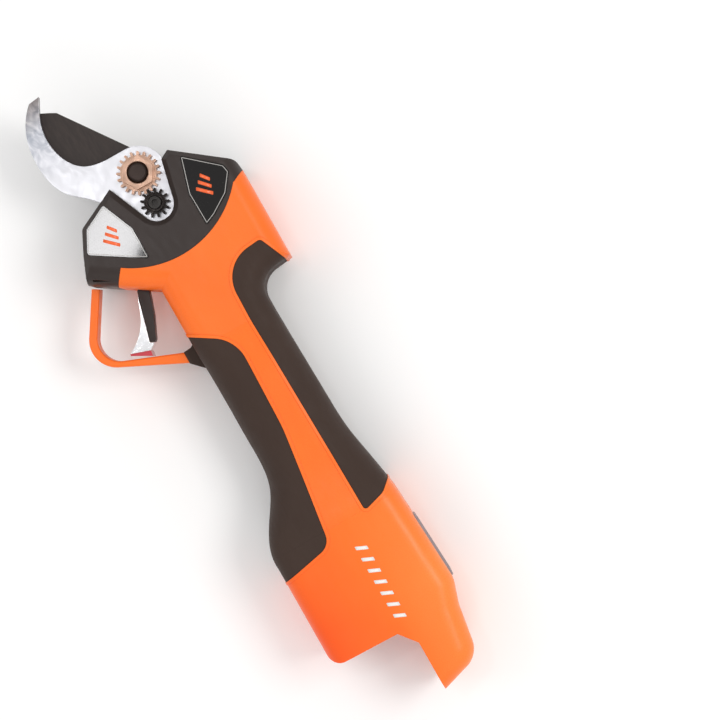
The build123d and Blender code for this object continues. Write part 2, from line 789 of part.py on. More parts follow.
def round_toothed_disc(teeth, start_angle, thickness, bottom, centre):
    """Disc with parallel-sided teeth that have round tips and round gaps."""
    pitch_r = NUT_MODULE * teeth / 2
    root_r = pitch_r - 1.05
    tip_r = pitch_r + 0.72
    width = 1.15
    with BuildPart() as disc:
        with BuildSketch(level(bottom)):
            with Locations(centre):
                Circle(root_r)
                with PolarLocations(0, teeth, start_angle=start_angle):
                    with Locations((root_r + (tip_r - root_r - width) / 2, 0)):
                        SlotOverall(tip_r - root_r + width, width)
        extrude(amount=thickness)
    return disc.part


NUT_GEAR_THICKNESS = 2.8
NUT_TOP_Z = 20.6
NUT_AF = 13.0
nut_disc = round_toothed_disc(NUT_TEETH, 180 / NUT_TEETH, NUT_GEAR_THICKNESS, NUT_Z, (0, 0))
with BuildPart() as adjusting_nut:
    add(nut_disc)
    with BuildSketch(level(NUT_Z + NUT_GEAR_THICKNESS)):
        RegularPolygon(NUT_AF / 2, 6, major_radius=False, rotation=30)
    extrude(amount=NUT_TOP_Z - NUT_Z - NUT_GEAR_THICKNESS)
    with BuildSketch(level(NUT_Z)):
        Circle(BOLT_R + RUN)
    extrude(amount=TOP, mode=Mode.SUBTRACT)
    mouth = adjusting_nut.faces().sort_by(Axis.Z)[-1].edges().filter_by(GeomType.CIRCLE)
    chamfer(mouth, 0.9)
put(adjusting_nut.part, "adjusting_nut")

LOCK_TOP_Z = 18.4
lock_disc = round_toothed_disc(LOCK_TEETH, 0, 3.0, NUT_Z, (LOCK_X, 0))
with BuildPart() as lock_gear:
    add(lock_disc)
    with BuildSketch(level(NUT_Z + 3.0)):
        with Locations((LOCK_X, 0)):
            Circle(4.0)
    extrude(amount=LOCK_TOP_Z - NUT_Z - 3.0)
    with BuildSketch(level(NUT_Z)):
        with Locations((LOCK_X, 0)):
            Circle(SCREW_R + RUN)
    extrude(amount=TOP, mode=Mode.SUBTRACT)
    with BuildSketch(level(LOCK_TOP_Z - 2.0)):
        with Locations((LOCK_X, 0)):
            Circle(SCREW_HEAD_R + 0.2)
    extrude(amount=TOP, mode=Mode.SUBTRACT)
put(lock_gear.part, "lock_gear")

with BuildPart() as lock_screw:
    with BuildSketch(level(FIXED_Z[0] + 0.3)):
        with Locations((LOCK_X, 0)):
            Circle(SCREW_R)
    extrude(amount=LOCK_TOP_Z - 1.95 - FIXED_Z[0] - 0.3)
    with BuildSketch(level(LOCK_TOP_Z - 1.95)):
        with Locations((LOCK_X, 0)):
            Circle(SCREW_HEAD_R)
            RegularPolygon(1.45, 6, mode=Mode.SUBTRACT)
    extrude(amount=2.6)
    with BuildSketch(level(LOCK_TOP_Z - 1.95)):
        with Locations((LOCK_X, 0)):
            Circle(SCREW_HEAD_R)
    extrude(amount=0.8)
put(lock_screw.part, "lock_screw")


# ---------------------------------------------------------------- head frame and output shaft
FRAME_X = (-36.0, -28.4)
BEARING_R = 6.5
OUTPUT_SHAFT_R = 3.0

with BuildPart() as head_frame:
    with BuildSketch(across(FRAME_X[0])):
        with Locations((0, -1.8)):
            RectangleRounded(28, 24.6, 5)
    extrude(amount=FRAME_X[1] - FRAME_X[0])
    with BuildSketch(across(FRAME_X[0])):
        Circle(BEARING_R)
    extrude(amount=FRAME_X[1] - FRAME_X[0], mode=Mode.SUBTRACT)
    with BuildSketch(level(2)):
        with Locations(BLADE_SCREWS):
            Circle(BLADE_SCREW_R - 0.3)
    extrude(amount=TOP, mode=Mode.SUBTRACT)
put(head_frame.part, "head_frame")

with BuildPart() as blade_screws:
    with BuildSketch(level(3)):
        with Locations(BLADE_SCREWS):
            Circle(BLADE_SCREW_R - 0.31)
    extrude(amount=FIXED_Z[1] - 3)
    with BuildSketch(level(FIXED_Z[1] + 0.02)):
        with Locations(BLADE_SCREWS):
            Circle(3.5)
    extrude(amount=2.6)
    with BuildSketch(level(FIXED_Z[1] - 0.1)):
        with Locations(BLADE_SCREWS):
            Circle(BLADE_SCREW_R - 0.31)
    extrude(amount=0.2)
    with BuildSketch(level(FIXED_Z[1] + 1.2)):
        with Locations(BLADE_SCREWS):
            RegularPolygon(1.7, 6)
    extrude(amount=TOP, mode=Mode.SUBTRACT)
put(blade_screws.part, "blade_screws")
put(ring_along(FRAME_X[0] + 0.4, FRAME_X[0] + 5.4, BEARING_R - 0.01, OUTPUT_SHAFT_R + RUN), "pinion_bearing")


# ---------------------------------------------------------------- bevel pinion and planetary stages
def toothed_outline(teeth, root_r, pitch_r, tip_r, halves, start_angle=0.0):
    """Corner points of a toothed ring; halves are the half thicknesses at root, pitch and tip."""
    corners = []
    for i in range(teeth):
        middle = start_angle + i * 360 / teeth
        for side, radius, half in (
            (-1, root_r, halves[0]), (-1, pitch_r, halves[1]), (-1, tip_r, halves[2]),
            (1, tip_r, halves[2]), (1, pitch_r, halves[1]), (1, root_r, halves[0]),
        ):
            corners.append(polar(middle + side * math.degrees(half / radius), radius))
    return corners


def toothed_wheel(x_back, x_front, corners, bore=0.0):
    """Straight toothed wheel on the motor axis."""
    with BuildPart() as wheel:
        with BuildSketch(across(x_back)):
            with BuildLine():
                Polyline(corners, close=True)
            make_face()
            if bore > 0:
                Circle(bore, mode=Mode.SUBTRACT)
        extrude(amount=x_front - x_back)
    return wheel.part


def pinion_section(x, scale):
    halves = [half * scale for half in TOOTH_HALF]
    corners = toothed_outline(
        PINION_TEETH, (BEVEL_PITCH_R - DEDENDUM) * scale, BEVEL_PITCH_R * scale,
        (BEVEL_PITCH_R + ADDENDUM) * scale, halves, start_angle=90,
    )
    with BuildSketch(across(x)) as section:
        with BuildLine():
            Polyline(corners, close=True)
        make_face()
    return section.sketch


GEAR_ADDENDUM = 0.36
GEAR_DEDENDUM = 0.52
GEAR_HALF = (0.38, 0.26, 0.15)
STAGE_X = ((-40.6, -45.4), (-50.2, -55.0))     # front and back of the planets: output stage, then first
CARRIER_THICKNESS = 2.0
CARRIER_R = 10.0
PLANET_PIN_R = 1.5
PLANET_PITCH_R = GEAR_MODULE * PLANET_TEETH / 2
SUN_PITCH_R = GEAR_MODULE * SUN_TEETH / 2
RING_PITCH_R = GEAR_MODULE * RING_TEETH / 2
sun_corners = toothed_outline(
    SUN_TEETH, SUN_PITCH_R - GEAR_DEDENDUM, SUN_PITCH_R, SUN_PITCH_R + GEAR_ADDENDUM, GEAR_HALF,
)
planet_spots = [polar(i * 360 / PLANETS, PLANET_ORBIT) for i in range(PLANETS)]


def carrier(planet_front, planet_back):
    """Disc in front of the planets with the pins that they turn on."""
    disc = ring_along(planet_front + 0.3, planet_front + 0.3 + CARRIER_THICKNESS, CARRIER_R)
    with BuildPart() as spider:
        add(disc)
        with BuildSketch(across(planet_back)):
            with Locations(planet_spots):
                Circle(PLANET_PIN_R)
        extrude(amount=planet_front + 0.3 - planet_back)
    return spider.part


ring_corners = toothed_outline(
    RING_TEETH, RING_PITCH_R + GEAR_DEDENDUM, RING_PITCH_R, RING_PITCH_R - GEAR_ADDENDUM, GEAR_HALF,
)
with BuildPart() as ring_gear:
    with BuildSketch(across(-57.5)):
        Circle(RING_R)
        with BuildLine():
            Polyline(ring_corners, close=True)
        make_face(mode=Mode.SUBTRACT)
    extrude(amount=57.5 + FRAME_X[0])
put(ring_gear.part, "ring_gear")

output_spider = carrier(*STAGE_X[0])
pinion_ends = [pinion_section(-BEVEL_R, 1.0), pinion_section(-BEVEL_R * BEVEL_INNER, BEVEL_INNER)]
with BuildPart() as bevel_teeth:
    add(pinion_ends)
    loft(ruled=True)
shaft = ring_along(-38.4, -BEVEL_R + 0.5, OUTPUT_SHAFT_R)
collar = ring_along(FRAME_X[0] + 5.6, -BEVEL_R, BEVEL_PITCH_R - DEDENDUM)
with BuildPart() as output_carrier:
    add([output_spider, bevel_teeth.part, shaft, collar])
put(output_carrier.part, "output_carrier")

first_spider = carrier(*STAGE_X[1])
second_sun = toothed_wheel(STAGE_X[1][0] + 2.2, STAGE_X[0][0] - 0.1, sun_corners)
with BuildPart() as first_carrier:
    add([first_spider, second_sun])
put(first_carrier.part, "first_carrier")

for stage, (front, back) in zip(("second", "first"), STAGE_X):
    for i in range(PLANETS):
        turn = i * 360 / PLANETS
        # A gap faces the sun's tooth on the line from the motor axis to this planet.
        corners = toothed_outline(
            PLANET_TEETH, PLANET_PITCH_R - GEAR_DEDENDUM, PLANET_PITCH_R, PLANET_PITCH_R + GEAR_ADDENDUM,
            GEAR_HALF, start_angle=turn + 180 + 180 / PLANET_TEETH,
        )
        centre = polar(turn, PLANET_ORBIT)
        corners = [(x + centre[0], y + centre[1]) for x, y in corners]
        with BuildPart() as planet:
            with BuildSketch(across(back)):
                with BuildLine():
                    Polyline(corners, close=True)
                make_face()
                with Locations(centre):
                    Circle(PLANET_PIN_R + RUN, mode=Mode.SUBTRACT)
            extrude(amount=front - back)
        put(planet.part, f"{stage}_planet_{'abc'[i]}")


# ---------------------------------------------------------------- motor
MOTOR_X = (-107.0, -60.0)
SHAFT_R = 1.5
AIR_GAP = 0.5
ROTOR_R = 7.2
STATOR_R = (ROTOR_R + AIR_GAP, MOTOR_R - 0.9)
STATOR_SLOTS = 6

with BuildPart() as motor_front_plate:
    with BuildSketch(across(MOTOR_X[1])):
        Circle(RING_R)
        Circle(3.4, mode=Mode.SUBTRACT)
    extrude(amount=-57.5 - MOTOR_X[1])
put(motor_front_plate.part, "motor_front_plate")

front_wall = ring_along(MOTOR_X[1] - 2, MOTOR_X[1], MOTOR_R, 4.0)
tube = ring_along(MOTOR_X[0] + 3, MOTOR_X[1] - 1.9, MOTOR_R, MOTOR_R - 0.9)
with BuildPart() as motor_can:
    add([front_wall, tube])
put(motor_can.part, "motor_can")

with BuildPart() as stator:
    with BuildSketch(across(MOTOR_X[0] + 8)):
        Circle(STATOR_R[1])
        Circle(STATOR_R[0], mode=Mode.SUBTRACT)
        with PolarLocations((STATOR_R[0] + STATOR_R[1]) / 2, STATOR_SLOTS, start_angle=30):
            Rectangle(1.7, 2.2, mode=Mode.SUBTRACT)
        with PolarLocations(STATOR_R[0] + 0.3, STATOR_SLOTS, start_angle=30):
            Rectangle(2.4, 0.9, mode=Mode.SUBTRACT)
    extrude(amount=MOTOR_X[1] - MOTOR_X[0] - 16)
put(stator.part, "stator")

with BuildPart() as windings:
    for x in (MOTOR_X[0] + 5.4, MOTOR_X[1] - 7.9):
        with BuildSketch(across(x)):
            with PolarLocations((STATOR_R[0] + STATOR_R[1]) / 2, STATOR_SLOTS):
                RectangleRounded(3.4, 6.4, 1.2)
        extrude(amount=2.5)
put(windings.part, "motor_windings")

end_disc = ring_along(MOTOR_X[0], MOTOR_X[0] + 2.9, MOTOR_R, 4.0)
with BuildPart() as motor_end_cap:
    add(end_disc)
    with BuildSketch(across(MOTOR_X[0])):
        with PolarLocations(9, 3, start_angle=90):
            SlotOverall(3.2, 2.0)
    extrude(amount=3, mode=Mode.SUBTRACT)
put(motor_end_cap.part, "motor_end_cap")

with BuildPart() as motor_bearings:
    for x in (MOTOR_X[0] + 0.2, MOTOR_X[1] - 2.0):
        with BuildSketch(across(x)):
            Circle(3.98)
            Circle(SHAFT_R + RUN, mode=Mode.SUBTRACT)
        extrude(amount=2.0)
put(motor_bearings.part, "motor_bearings")

spindle = ring_along(MOTOR_X[0] + 0.2, STAGE_X[1][0] + 0.1, SHAFT_R - 0.01)
core = ring_along(MOTOR_X[0] + 9, MOTOR_X[1] - 9, ROTOR_R)
with BuildPart() as rotor:
    add([spindle, core])
put(rotor.part, "rotor")
sun = toothed_wheel(STAGE_X[1][1] - 0.3, STAGE_X[1][0] - 0.1, sun_corners, bore=SHAFT_R)
put(sun, "sun_gear")


# ---------------------------------------------------------------- trigger and guard
def guard_outline():
    outer = FilletPolyline((-32.9, 43.85), (-62.9, 62.95), (-82.7, 22.15), radius=[12.2])
    inner = FilletPolyline((-77.4, 22.15), (-63, 58.5), (-34.8, 40.75), radius=[10])
    Line(outer @ 1, inner @ 0)
    Line(inner @ 1, outer @ 0)


guard_bar = prism(guard_outline, -GUARD_HALF, GUARD_HALF)
with BuildPart() as trigger_guard:
    add(guard_bar)
    rims = trigger_guard.faces().filter_by(Axis.Z).edges()
    fillet(rims.filter_by(lambda e: e.length > 8), 1.0)
put(trigger_guard.part, "trigger_guard")

TRIGGER_HALF = 3.5
PAD_HALF = 6.0
MAGNET_SPOT = (-42.6, 17.4)
MAGNET_R = 1.3


def lever_outline():
    Polyline(
        (-41.4, 24.0), (-43.6, 27.0), (-52.5, 29.3), (-66, 32.9), (-66.9, 31.1), (-66, 30), (-62.9, 28.6),
        (-56.6, 25.7), (-50.4, 23.5), (-45.7, 22.0), (-42.9, 20.6), (-39.5, 21.0),
        close=True,
    )


def pad_outline():
    face = Spline((-45.6, 27.6), (-51, 29.6), (-56.4, 32), (-61.3, 35.8), (-64.4, 39.4), (-66.4, 42.9))
    Polyline(face @ 1, (-69.3, 34.2), (-67.3, 31.3), (-66.05, 33), (-52.5, 29.38), face @ 0)


def toe_outline():
    Polyline((-66.45, 43.1), (-67.3, 43.2), (-72, 34.6), (-69.4, 34.3), close=True)


lever_arm = prism(lever_outline, -TRIGGER_HALF, TRIGGER_HALF)
with BuildPart() as trigger_lever:
    add(lever_arm)
    with BuildSketch(level(-TRIGGER_HALF)):
        with Locations(TRIGGER_PIN):
            Circle(3.4)
        with Locations(MAGNET_SPOT):
            Circle(2.1)
    extrude(amount=2 * TRIGGER_HALF)
    with BuildSketch(level(-TRIGGER_HALF)):
        with Locations(TRIGGER_PIN):
            Circle(1.5 + RUN)
    extrude(amount=2 * TRIGGER_HALF, mode=Mode.SUBTRACT)
    with BuildSketch(level(-TRIGGER_HALF)):
        with Locations(MAGNET_SPOT):
            Circle(MAGNET_R)
    extrude(amount=2, mode=Mode.SUBTRACT)
put(trigger_lever.part, "trigger_lever")
put(posts([MAGNET_SPOT], MAGNET_R - 0.01, -TRIGGER_HALF, -TRIGGER_HALF + 2), "trigger_magnet")
put(prism(pad_outline, -PAD_HALF, PAD_HALF), "trigger_pad")
put(prism(toe_outline, -PAD_HALF, PAD_HALF), "trigger_toe")
put(posts([TRIGGER_PIN], 1.49, -11.9, 11.9), "trigger_pin")

SPRING_WIRE_R = 0.3
SPRING_COIL_R = 2.2
with BuildPart() as trigger_spring:
    with BuildLine(Plane(origin=(PIVOT_X + TRIGGER_PIN[0], PIVOT_Y + TRIGGER_PIN[1], MID_Z + 4.1))):
        coil = Helix(pitch=0.75, height=2.6, radius=SPRING_COIL_R)
    with BuildSketch(Plane(origin=coil @ 0, z_dir=coil % 0)):
        Circle(SPRING_WIRE_R)
    sweep()
put(trigger_spring.part, "trigger_spring")
put(slab((-43.9, -39.8), (13.2, 19.0), (-6.6, -5.6)), "trigger_sensor_board")


# ---------------------------------------------------------------- electronics and display
BOARD_X = (-168.0, -117.0)
BOARD_Y = (-6.0, -4.4)
CAPACITOR_R = 4.0
put(slab(BOARD_X, BOARD_Y, (-12.5, 12.5)), "controller_board")

with BuildPart() as capacitor:
    with BuildSketch(across(-163)):
        with Locations((BOARD_Y[1] + CAPACITOR_R + 0.1, -6)):
            Circle(CAPACITOR_R)
    extrude(amount=14)
    chamfer(capacitor.edges().filter_by(GeomType.CIRCLE), 0.5)

board_face = Plane(origin=(PIVOT_X, PIVOT_Y + BOARD_Y[1], MID_Z), x_dir=(1, 0, 0), z_dir=(0, 1, 0))
with BuildPart() as controller_parts:
    with BuildSketch(board_face):
        with Locations((-127, 0)):
            with GridLocations(6.5, 16, 2, 2):
                Rectangle(5, 6.2)
        with Locations((-150, -5)):
            Rectangle(9, 9)
    extrude(amount=1.6)
    add(capacitor.part)
put(controller_parts.part, "controller_parts")

LENS_GAP = 0.1
BUTTON_R = 3.0
lens_blank = slab(
    (DISPLAY_X[0] + LENS_GAP, DISPLAY_X[1] - LENS_GAP),
    (-31.4, DISPLAY_FLOOR_Y),
    (-DISPLAY_HALF + LENS_GAP, DISPLAY_HALF - LENS_GAP),
)
with BuildPart() as display_window:
    add(lens_blank)
    with BuildSketch(facing_back(DISPLAY_FLOOR_Y)):
        with Locations((BUTTON_X, 0)):
            Circle(BUTTON_R + 0.15)
    extrude(amount=5, mode=Mode.SUBTRACT)
put(display_window.part, "display_window")
put(slab((-216.5, -193.8), (-28.2, -27.2), (-6.8, 6.8)), "display_board")
put(slab((-215.5, -203), (-29.9, -28.2), (-6.0, 6.0)), "display_screen")

with BuildPart() as power_button:
    with BuildSketch(facing_back(-29.2)):
        with Locations((BUTTON_X, 0)):
            Circle(3.4)
    extrude(amount=0.9)
    with BuildSketch(facing_back(-30.1)):
        with Locations((BUTTON_X, 0)):
            Circle(BUTTON_R)
    extrude(amount=1.9)
    chamfer(power_button.faces().sort_by(Axis.Y)[0].edges(), 0.4)
put(power_button.part, "power_button")


# ---------------------------------------------------------------- battery socket
CONTACT_Z = [-9, -4.5, 0, 4.5, 9]
put(slab((-193, -185), (-8, 8), (-12, 12)), "terminal_block")
contact_blades = [slab((-200, -193), (-3, 3), (z - 0.4, z + 0.4)) for z in CONTACT_Z]
with BuildPart() as contacts:
    add(contact_blades)
put(contacts.part, "battery_contacts")


# ---------------------------------------------------------------- internal leads
def lead(points, radius):
    """Insulated lead along straight runs joined by the largest arcs that they allow."""
    spots = [Vector(PIVOT_X + x, PIVOT_Y + y, MID_Z + z) for x, y, z in points]
    radii = []
    for before, corner, after in zip(spots, spots[1:], spots[2:]):
        turn = (corner - before).get_angle(after - corner)
        shorter = min((corner - before).length, (after - corner).length)
        radii.append(0.45 * shorter / math.tan(math.radians(turn) / 2))
    with BuildPart() as wire:
        with BuildLine() as route:
            FilletPolyline(*spots, radius=radii)
        with BuildSketch(Plane(origin=route.line @ 0, z_dir=route.line % 0)):
            Circle(radius)
        sweep()
    return wire.part


MOTOR_LEAD_R = 0.9
SENSOR_LEAD_R = 0.7
BOARD_TOP = BOARD_Y[1] + 0.05

motor_routes = [
    [(-107.2, y, z), (-111.2, y, z), (-116, middle_y, 0.8 * z), (-121, BOARD_TOP + MOTOR_LEAD_R, 0.5 * z)]
    for y, z, middle_y in ((-4.5, -7.6, -2.6), (9.0, 0.0, 1.2), (-4.5, 7.6, -2.6))
]
battery_routes = [
    [(-165.5, BOARD_TOP + MOTOR_LEAD_R, z), (-171, -3.2, z), (-179, 0.5, z + 1.5), (-184.9, 0.5, z + 1.5)]
    for z in (1.5, 6.0)
]
sensor_route = [
    (-43.4, 14.2, -6.7), (-43.4, 13.4, -11.6), (-56, 11.0, -12.6), (-82, 10.2, -12.0),
    (-97, 9.65, -11.1), (-109, 9.3, -10.3), (-114.5, 3.5, -9.4), (-118.6, BOARD_TOP + SENSOR_LEAD_R, -8.4),
]

leads = [lead(route, MOTOR_LEAD_R) for route in motor_routes + battery_routes]
leads.append(lead(sensor_route, SENSOR_LEAD_R))
with BuildPart() as internal_leads:
    add(leads)
put(internal_leads.part, "internal_leads")
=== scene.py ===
import json
import math

import bmesh
import bpy
from mathutils import Matrix, Vector
from mathutils.bvhtree import BVHTree


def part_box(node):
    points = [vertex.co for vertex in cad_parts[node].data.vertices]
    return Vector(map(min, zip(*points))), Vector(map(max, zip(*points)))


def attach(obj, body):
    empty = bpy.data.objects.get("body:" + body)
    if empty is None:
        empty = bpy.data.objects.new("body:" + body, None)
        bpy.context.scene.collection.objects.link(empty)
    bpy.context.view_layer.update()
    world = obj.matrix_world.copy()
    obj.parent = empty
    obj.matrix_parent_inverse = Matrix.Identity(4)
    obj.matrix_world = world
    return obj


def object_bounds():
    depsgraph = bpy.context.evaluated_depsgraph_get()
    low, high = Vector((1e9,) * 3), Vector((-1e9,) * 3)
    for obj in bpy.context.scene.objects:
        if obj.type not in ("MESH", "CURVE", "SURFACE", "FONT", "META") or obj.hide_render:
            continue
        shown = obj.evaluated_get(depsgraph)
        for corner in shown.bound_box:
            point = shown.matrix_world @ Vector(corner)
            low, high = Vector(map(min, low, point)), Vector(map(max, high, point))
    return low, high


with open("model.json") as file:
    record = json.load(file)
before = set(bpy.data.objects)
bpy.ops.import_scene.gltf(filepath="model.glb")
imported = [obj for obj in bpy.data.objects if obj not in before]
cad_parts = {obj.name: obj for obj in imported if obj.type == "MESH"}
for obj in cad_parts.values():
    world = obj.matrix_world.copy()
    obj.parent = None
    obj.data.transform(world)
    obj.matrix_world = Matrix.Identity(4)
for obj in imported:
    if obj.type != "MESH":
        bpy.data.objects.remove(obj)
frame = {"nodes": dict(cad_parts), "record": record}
CAD_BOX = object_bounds()
NODES = frame["nodes"]

# ---------------------------------------------------------------- places, all read from the frame
MM = 0.001


def middle(node):
    """Centre of a CAD node's box."""
    low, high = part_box(node)
    return (Vector(low) + Vector(high)) / 2


PIVOT = middle("blade_bushing")
LOCK = middle("lock_screw")
MID_Z = middle("controller_board").z
OBJECT_MIDDLE = (Vector(CAD_BOX[0]) + Vector(CAD_BOX[1])) / 2
BLADE_TIP_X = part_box("fixed_blade")[1][0]


def place(x, y, z=0.0):
    """Row-frame point from millimetres about the blade pivot and the casing's middle plane."""
    return Vector((PIVOT.x + x * MM, PIVOT.y + y * MM, MID_Z + z * MM))


# ---------------------------------------------------------------- shader building
class Surface:
    """A Principled material that is put together from small procedural layers."""

    def __init__(self, name, rough, metallic=0.0):
        self.material = bpy.data.materials.new(name)
        self.material.use_nodes = True
        self.nodes = self.material.node_tree.nodes
        self.links = self.material.node_tree.links
        self.shader = self.nodes["Principled BSDF"]
        self.shader.inputs["Metallic"].default_value = metallic
        self.shader.inputs["Roughness"].default_value = rough
        self.position = self.nodes.new("ShaderNodeTexCoord").outputs["Object"]
        self.normal = None

    def add(self, kind, **values):
        """New shader node with the given settings."""
        node = self.nodes.new(kind)
        for key, value in values.items():
            setattr(node, key, value)
        return node

    def fill(self, socket, value):
        """Sets a socket to a value, or links another node's output to it."""
        if isinstance(value, bpy.types.NodeSocket):
            self.links.new(value, socket)
        else:
            socket.default_value = value

    def math(self, operation, a, b=0.0):
        node = self.add("ShaderNodeMath", operation=operation)
        for socket, value in zip(node.inputs, (a, b)):
            self.fill(socket, value)
        return node.outputs[0]

    def noise(self, size, detail=2.0, stretch=(1, 1, 1), distortion=0.0):
        """Noise whose features are about size metres across."""
        mapping = self.add("ShaderNodeMapping")
        self.links.new(self.position, mapping.inputs["Vector"])
        mapping.inputs["Scale"].default_value = stretch
        node = self.add("ShaderNodeTexNoise")
        self.links.new(mapping.outputs[0], node.inputs["Vector"])
        node.inputs["Scale"].default_value = 1 / size
        node.inputs["Detail"].default_value = detail
        node.inputs["Distortion"].default_value = distortion
        return node.outputs["Fac"]

    def between(self, value, low, high, out_low=0.0, out_high=1.0):
        """Value mapped from low..high to out_low..out_high, and held at the ends."""
        node = self.add("ShaderNodeMapRange", clamp=True)
        for socket, number in zip(node.inputs, (value, low, high, out_low, out_high)):
            self.fill(socket, number)
        return node.outputs[0]

    def blend(self, factor, a, b):
        """Colour a where factor is 0 and b where it is 1."""
        node = self.add("ShaderNodeMix", data_type="RGBA")
        self.fill(node.inputs[0], factor)
        self.fill(node.inputs[6], a)
        self.fill(node.inputs[7], b)
        return node.outputs[2]

    def axis(self, which):
        """Row-frame X, Y or Z in metres."""
        node = self.add("ShaderNodeSeparateXYZ")
        self.links.new(self.position, node.inputs[0])
        return node.outputs["XYZ".index(which)]

    def distance_from(self, x, y):
        """Distance from the vertical line through x, y."""
        node = self.add("ShaderNodeVectorMath", operation="DISTANCE")
        flat = self.add("ShaderNodeVectorMath", operation="MULTIPLY")
        self.links.new(self.position, flat.inputs[0])
        flat.inputs[1].default_value = (1, 1, 0)
        self.links.new(flat.outputs[0], node.inputs[0])
        node.inputs[1].default_value = (x, y, 0)
        return node.outputs["Value"]

    def round_edges(self, radius):
        """Softened edges; returns a mask that is 1 on the edges, which the materials use to paint
        highlights there.
        """
        bevel = self.add("ShaderNodeBevel", samples=6)
        bevel.inputs["Radius"].default_value = radius
        geometry = self.add("ShaderNodeNewGeometry")
        dot = self.add("ShaderNodeVectorMath", operation="DOT_PRODUCT")
        self.links.new(bevel.outputs[0], dot.inputs[0])
        self.links.new(geometry.outputs["Normal"], dot.inputs[1])
        self.normal = bevel.outputs[0]
        return self.between(dot.outputs["Value"], 0.985, 0.86)

    def bump(self, height, depth, strength=1.0):
        """Adds relief to the normal; depth is in metres."""
        node = self.add("ShaderNodeBump")
        node.inputs["Strength"].default_value = strength
        node.inputs["Distance"].default_value = depth
        self.links.new(height, node.inputs["Height"])
        if self.normal is not None:
            self.links.new(self.normal, node.inputs["Normal"])
        self.normal = node.outputs[0]

    def done(self, colour, rough):
        """Links what has been built into the shader and returns the material."""
        self.fill(self.shader.inputs["Base Color"], colour)
        self.fill(self.shader.inputs["Roughness"], rough)
        if self.normal is not None:
            self.links.new(self.normal, self.shader.inputs["Normal"])
        return self.material


def shade(colour, factor):
    """The same colour, darker or brighter."""
    return tuple(channel * factor for channel in colour[:3]) + (1.0,)


# ---------------------------------------------------------------- materials
PARTING_HALF = 0.12 * MM
PARTING_FADE = 0.2 * MM
RING_PITCH = 0.22 * MM
HOLLOW_SHADE = 0.8075
BRIGHT_END = 16 * MM
TIP_LENGTH = 14 * MM
TRACK_PITCH = 6 * MM

# distances from the blade pivot between which painted shade (front side) and painted light (back side)
# fade in on the battery housing's orange
TAIL_START = 150 * MM
TAIL_FULL = 215 * MM
TAIL_FRONT_START = 6 * MM
TAIL_FRONT_FULL = 34 * MM
TAIL_BACK_START = 2 * MM
TAIL_BACK_FULL = 32 * MM


def moulded(
    name, colour, rough, grain=0.45, depth=0.012, spread=0.08, parting=False, warm=None,
    radius=0.35, shine=0.5, housing_shade_and_light=None,
):
    """Injection-moulded plastic or rubber: fine grain, slight flow marks, soft edges with a painted
    highlight.

    grain, depth and radius are in millimetres. parting draws the line where the two casing halves
    meet, and the last argument holds the painted shade colour for the battery housing's front side
    and the painted light colour for its back side.
    """
    s = Surface(name, rough)
    s.shader.inputs["Specular IOR Level"].default_value = shine
    edge = s.round_edges(radius * MM)
    flow = s.noise(38 * MM, 3, (1, 1.6, 1))
    speck = s.noise(grain * MM, 3)
    scuff = s.noise(7 * MM, 5, (1, 3, 1), 0.6)
    base = s.blend(flow, shade(colour, 1 - spread), warm or shade(colour, 1 + spread))
    # painted shade on the battery housing's front side and painted light on its back side, growing
    # towards the housing's rear end
    if housing_shade_and_light:
        deep, pale = housing_shade_and_light
        along = s.between(s.axis("X"), PIVOT.x - TAIL_START, PIVOT.x - TAIL_FULL)
        front = s.between(s.axis("Y"), PIVOT.y - TAIL_FRONT_START, PIVOT.y + TAIL_FRONT_FULL)
        back = s.between(s.axis("Y"), PIVOT.y - TAIL_BACK_START, PIVOT.y - TAIL_BACK_FULL)
        base = s.blend(s.math("MULTIPLY", along, front), base, deep)
        base = s.blend(s.math("MULTIPLY", along, back), base, pale)
    base = s.blend(s.between(speck, 0.35, 0.75, 0, 0.35), base, shade(colour, 0.8))
    # painted highlight on the edges
    base = s.blend(s.math("MULTIPLY", edge, 0.35), base, shade(colour, 1.45))
    gloss = s.between(scuff, 0.3, 0.75, rough - 0.06, rough + 0.08)
    if parting:
        off_middle = s.math("ABSOLUTE", s.math("SUBTRACT", s.axis("Z"), MID_Z))
        line = s.between(off_middle, PARTING_HALF, PARTING_FADE, 1, 0)
        base = s.blend(s.math("MULTIPLY", line, 0.75), base, shade(colour, 0.25))
        s.bump(s.math("SUBTRACT", 1.0, line), 0.25 * MM, 0.7)
    s.bump(speck, depth * MM)
    return s.done(base, gloss)


def metal(
    name, colour, rough, brush=(1, 1, 1), grain=0.25, depth=0.004, edge_light=1.3, stain=0.12,
):
    """Machined or ground metal: brush marks along one direction, faint stains, a painted highlight on
    the edges.
    """
    s = Surface(name, rough, 1.0)
    edge = s.round_edges(0.2 * MM)
    lines = s.noise(grain * MM, 2, brush)
    cloud = s.noise(9 * MM, 4)
    base = s.blend(s.between(cloud, 0.35, 0.7, 0, 1), colour, shade(colour, 1 - stain))
    # painted highlight on the edges
    base = s.blend(s.math("MULTIPLY", edge, 0.6), base, shade(colour, edge_light))
    gloss = s.between(lines, 0.3, 0.7, max(rough - 0.06, 0.04), rough + 0.09)
    s.bump(lines, depth * MM)
    return s.done(base, gloss)


def turned(name, colour, rough, centre):
    """Turned or hobbed metal with fine rings about an upright axis and darker hollows."""
    s = Surface(name, rough, 1.0)
    edge = s.round_edges(0.4 * MM)
    radius = s.distance_from(centre.x, centre.y)
    rings = s.math("SINE", s.math("MULTIPLY", radius, 2 * math.pi / RING_PITCH))
    cloud = s.noise(3.5 * MM, 4)
    base = s.blend(s.between(cloud, 0.35, 0.7), colour, shade(colour, HOLLOW_SHADE))
    # painted highlight on the edges
    base = s.blend(s.math("MULTIPLY", edge, 0.8), base, shade(colour, 1.9))
    s.bump(rings, 0.0022 * MM)
    s.bump(s.noise(0.3 * MM, 2), 0.006 * MM)
    return s.done(base, s.between(cloud, 0.3, 0.7, rough - 0.05, rough + 0.1))


